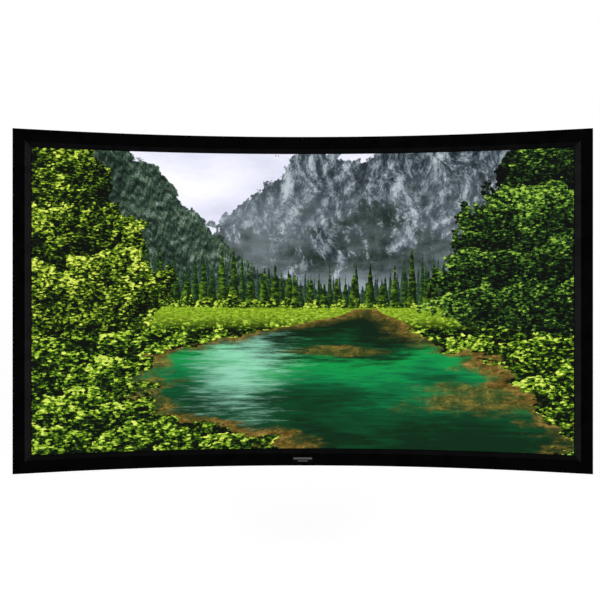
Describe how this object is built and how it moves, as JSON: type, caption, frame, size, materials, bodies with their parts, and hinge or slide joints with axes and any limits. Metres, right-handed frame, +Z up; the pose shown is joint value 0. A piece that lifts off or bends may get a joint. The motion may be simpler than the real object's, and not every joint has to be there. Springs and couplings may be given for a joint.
{
  "type": "curved fixed frame projector screen",
  "caption": "Wide projection screen, gently curved from side to side, in a black velvet frame with a bevelled inner edge, hung on wall brackets.",
  "frame": {"origin": "middle of the whole box, wall brackets included", "axes": "+X to the viewer's right along the screen's width, +Y towards the wall, +Z up"},
  "size_m": [2.8088, 0.2296, 1.666],
  "materials": {
    "velvet": "matte",
    "aluminium": "satin",
    "zinc_steel": "satin",
    "black_screw": "satin",
    "screen_fabric": "matte",
    "fibreglass": "satin",
    "bracket": "matte",
    "badge": "satin"
  },
  "bodies": {
    "root": {"badge": "badge", "bottom_bar_foot": "zinc_steel", "bottom_bar_screw": "black_screw", "bottom_foot_screw": "black_screw", "bottom_rail_left": "aluminium", "bottom_rail_right": "aluminium", "bottom_rail_velvet_left": "velvet", "bottom_rail_velvet_right": "velvet", "bottom_splice_bar": "zinc_steel", "bottom_tension_rod": "fibreglass", "elbow_plate_bottom_left": "zinc_steel", "elbow_plate_bottom_right": "zinc_steel", "elbow_plate_top_left": "zinc_steel", "elbow_plate_top_right": "zinc_steel", "left_tension_rod": "fibreglass", "left_upright": "aluminium", "left_upright_velvet": "velvet", "rail_set_screw_bottom_left_1": "black_screw", "rail_set_screw_bottom_left_2": "black_screw", "rail_set_screw_bottom_right_1": "black_screw", "rail_set_screw_bottom_right_2": "black_screw", "rail_set_screw_top_left_1": "black_screw", "rail_set_screw_top_left_2": "black_screw", "rail_set_screw_top_right_1": "black_screw", "rail_set_screw_top_right_2": "black_screw", "right_tension_rod": "fibreglass", "right_upright": "aluminium", "right_upright_velvet": "velvet", "screen_fabric": "screen_fabric", "splice_set_screw_bottom_left_1": "black_screw", "splice_set_screw_bottom_left_2": "black_screw", "splice_set_screw_bottom_right_1": "black_screw", "splice_set_screw_bottom_right_2": "black_screw", "splice_set_screw_top_left_1": "black_screw", "splice_set_screw_top_left_2": "black_screw", "splice_set_screw_top_right_1": "black_screw", "splice_set_screw_top_right_2": "black_screw", "support_bar": "aluminium", "top_bar_foot": "zinc_steel", "top_bar_screw": "black_screw", "top_foot_screw": "black_screw", "top_rail_left": "aluminium", "top_rail_right": "aluminium", "top_rail_velvet_left": "velvet", "top_rail_velvet_right": "velvet", "top_splice_bar": "zinc_steel", "top_tension_rod": "fibreglass", "upright_set_screw_bottom_left_1": "black_screw", "upright_set_screw_bottom_left_2": "black_screw", "upright_set_screw_bottom_right_1": "black_screw", "upright_set_screw_bottom_right_2": "black_screw", "upright_set_screw_top_left_1": "black_screw", "upright_set_screw_top_left_2": "black_screw", "upright_set_screw_top_right_1": "black_screw", "upright_set_screw_top_right_2": "black_screw", "wall_bracket_bottom_left": "bracket", "wall_bracket_bottom_right": "bracket", "wall_bracket_top_left": "bracket", "wall_bracket_top_right": "bracket"}
  },
  "joints": []
}
